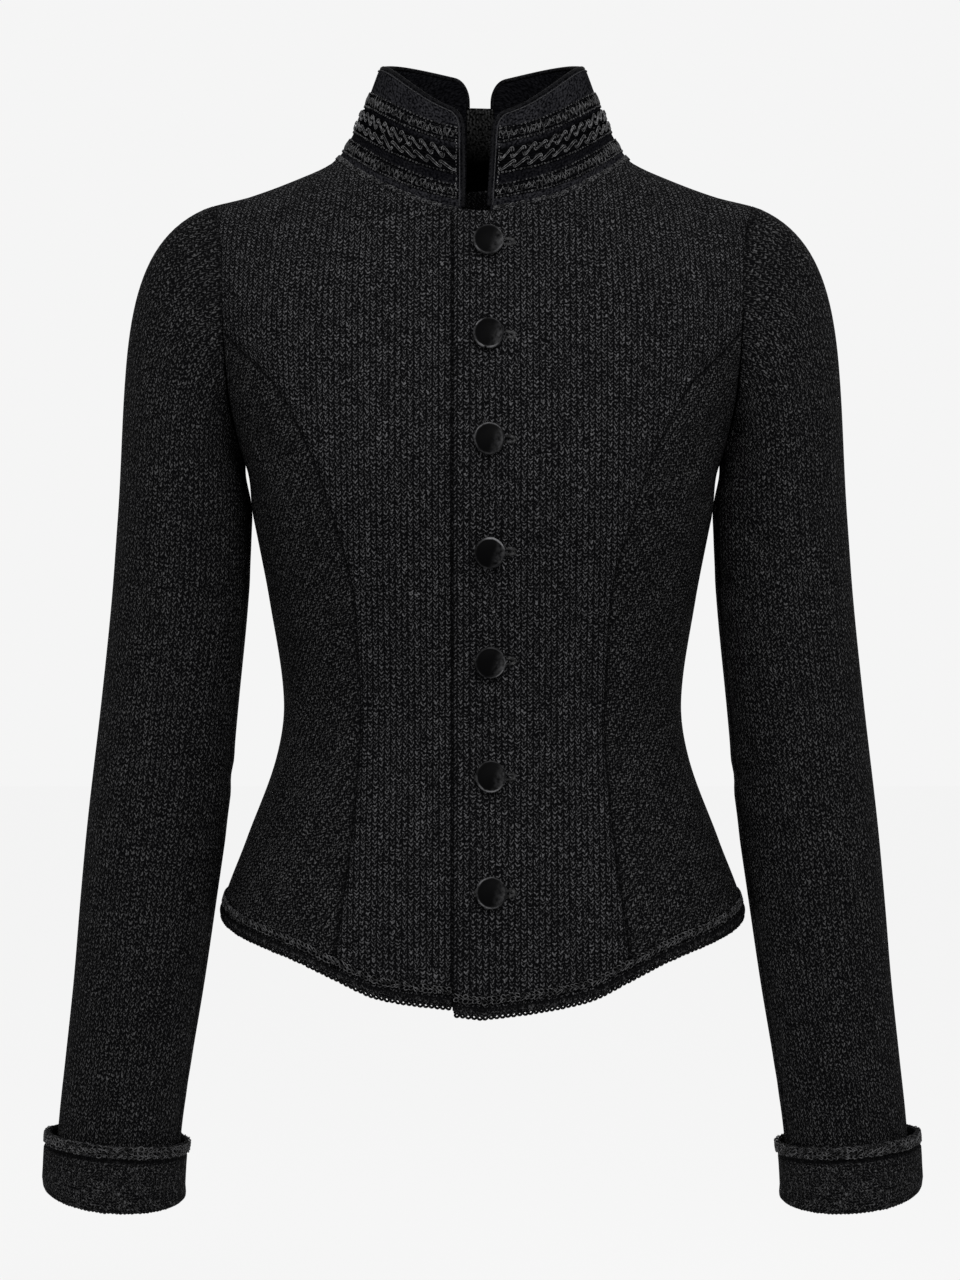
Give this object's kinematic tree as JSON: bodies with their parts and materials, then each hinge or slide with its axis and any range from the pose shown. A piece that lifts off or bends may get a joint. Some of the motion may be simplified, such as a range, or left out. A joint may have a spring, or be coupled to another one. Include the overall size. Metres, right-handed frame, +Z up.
{
  "type": "trachten jacket",
  "caption": "Fitted black knitted wool jacket with a braided stand collar, covered buttons down the front, long sleeves with turned-back cuffs and a pointed, trimmed hem.",
  "frame": {"origin": "on the centre line, 3 mm above the line between the two points where the shoulder seams meet the collar", "axes": "+Z up, the front faces -Y, +X towards the wearer's left"},
  "size_m": [0.5576, 0.2545, 0.7293],
  "materials": {
    "knitted_wool": "matt textured knit",
    "collar_cloth": "soft felt with a faint nap",
    "rib": "matt ribbed knit",
    "piping": "soft satin",
    "braid": "slightly shiny looped cord",
    "button": "velvet with a soft sheen"
  },
  "bodies": {
    "root": {"front_left": "knitted_wool", "side_front_left": "knitted_wool", "side_back_left": "knitted_wool", "top_sleeve_left": "knitted_wool", "under_sleeve_left": "knitted_wool", "cuff_left": "knitted_wool", "cuff_braid_left": "braid", "collar_left": "collar_cloth", "collar_piping_left": "piping", "collar_braid_low_left": "braid", "collar_braid_mid_left": "braid", "collar_braid_top_left": "braid", "front_right": "knitted_wool", "side_front_right": "knitted_wool", "side_back_right": "knitted_wool", "top_sleeve_right": "knitted_wool", "under_sleeve_right": "knitted_wool", "cuff_right": "knitted_wool", "cuff_braid_right": "braid", "collar_right": "collar_cloth", "collar_piping_right": "piping", "collar_braid_low_right": "braid", "collar_braid_mid_right": "braid", "collar_braid_top_right": "braid", "back": "knitted_wool", "collar_back_insert": "rib", "hem_edge": "braid", "hem_braid": "braid", "button_1": "button", "button_2": "button", "button_3": "button", "button_4": "button", "button_5": "button", "button_6": "button", "button_7": "button"}
  },
  "joints": []
}
